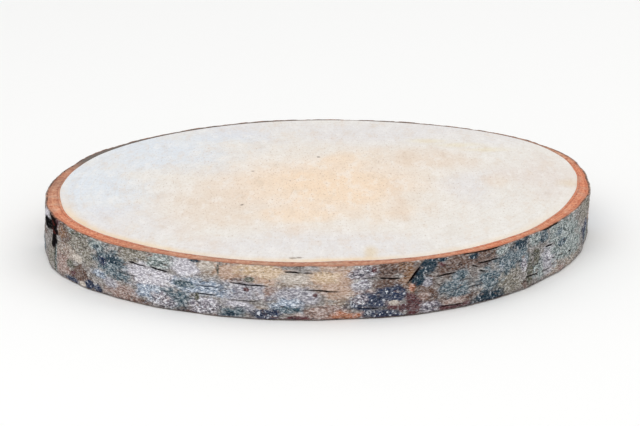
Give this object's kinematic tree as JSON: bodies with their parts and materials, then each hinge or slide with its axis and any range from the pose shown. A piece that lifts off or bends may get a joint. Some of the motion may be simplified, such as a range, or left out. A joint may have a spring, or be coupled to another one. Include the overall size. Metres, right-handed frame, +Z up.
{
  "type": "wood slice",
  "caption": "Slightly oval cross cut of a tree trunk with its bark left on, sawn flat on both faces, to lie flat and carry things on top.",
  "frame": {"origin": "middle of the slice's box at its sawn underside", "axes": "+Z up out of the sawn top face, along the trunk; +X across the slice to the right as the branch scar lies at the left; -Y towards the viewer"},
  "size_m": [0.2936, 0.3072, 0.028],
  "materials": {
    "wood": "dry pale hardwood end grain, fine sawn, unsealed",
    "inner_bark": "dry fibrous inner bark, orange brown, sawn",
    "outer_bark": "dry grey bark with dark lenticels and lichen, matt"
  },
  "bodies": {
    "root": {"wood_slice": "wood"}
  },
  "joints": []
}
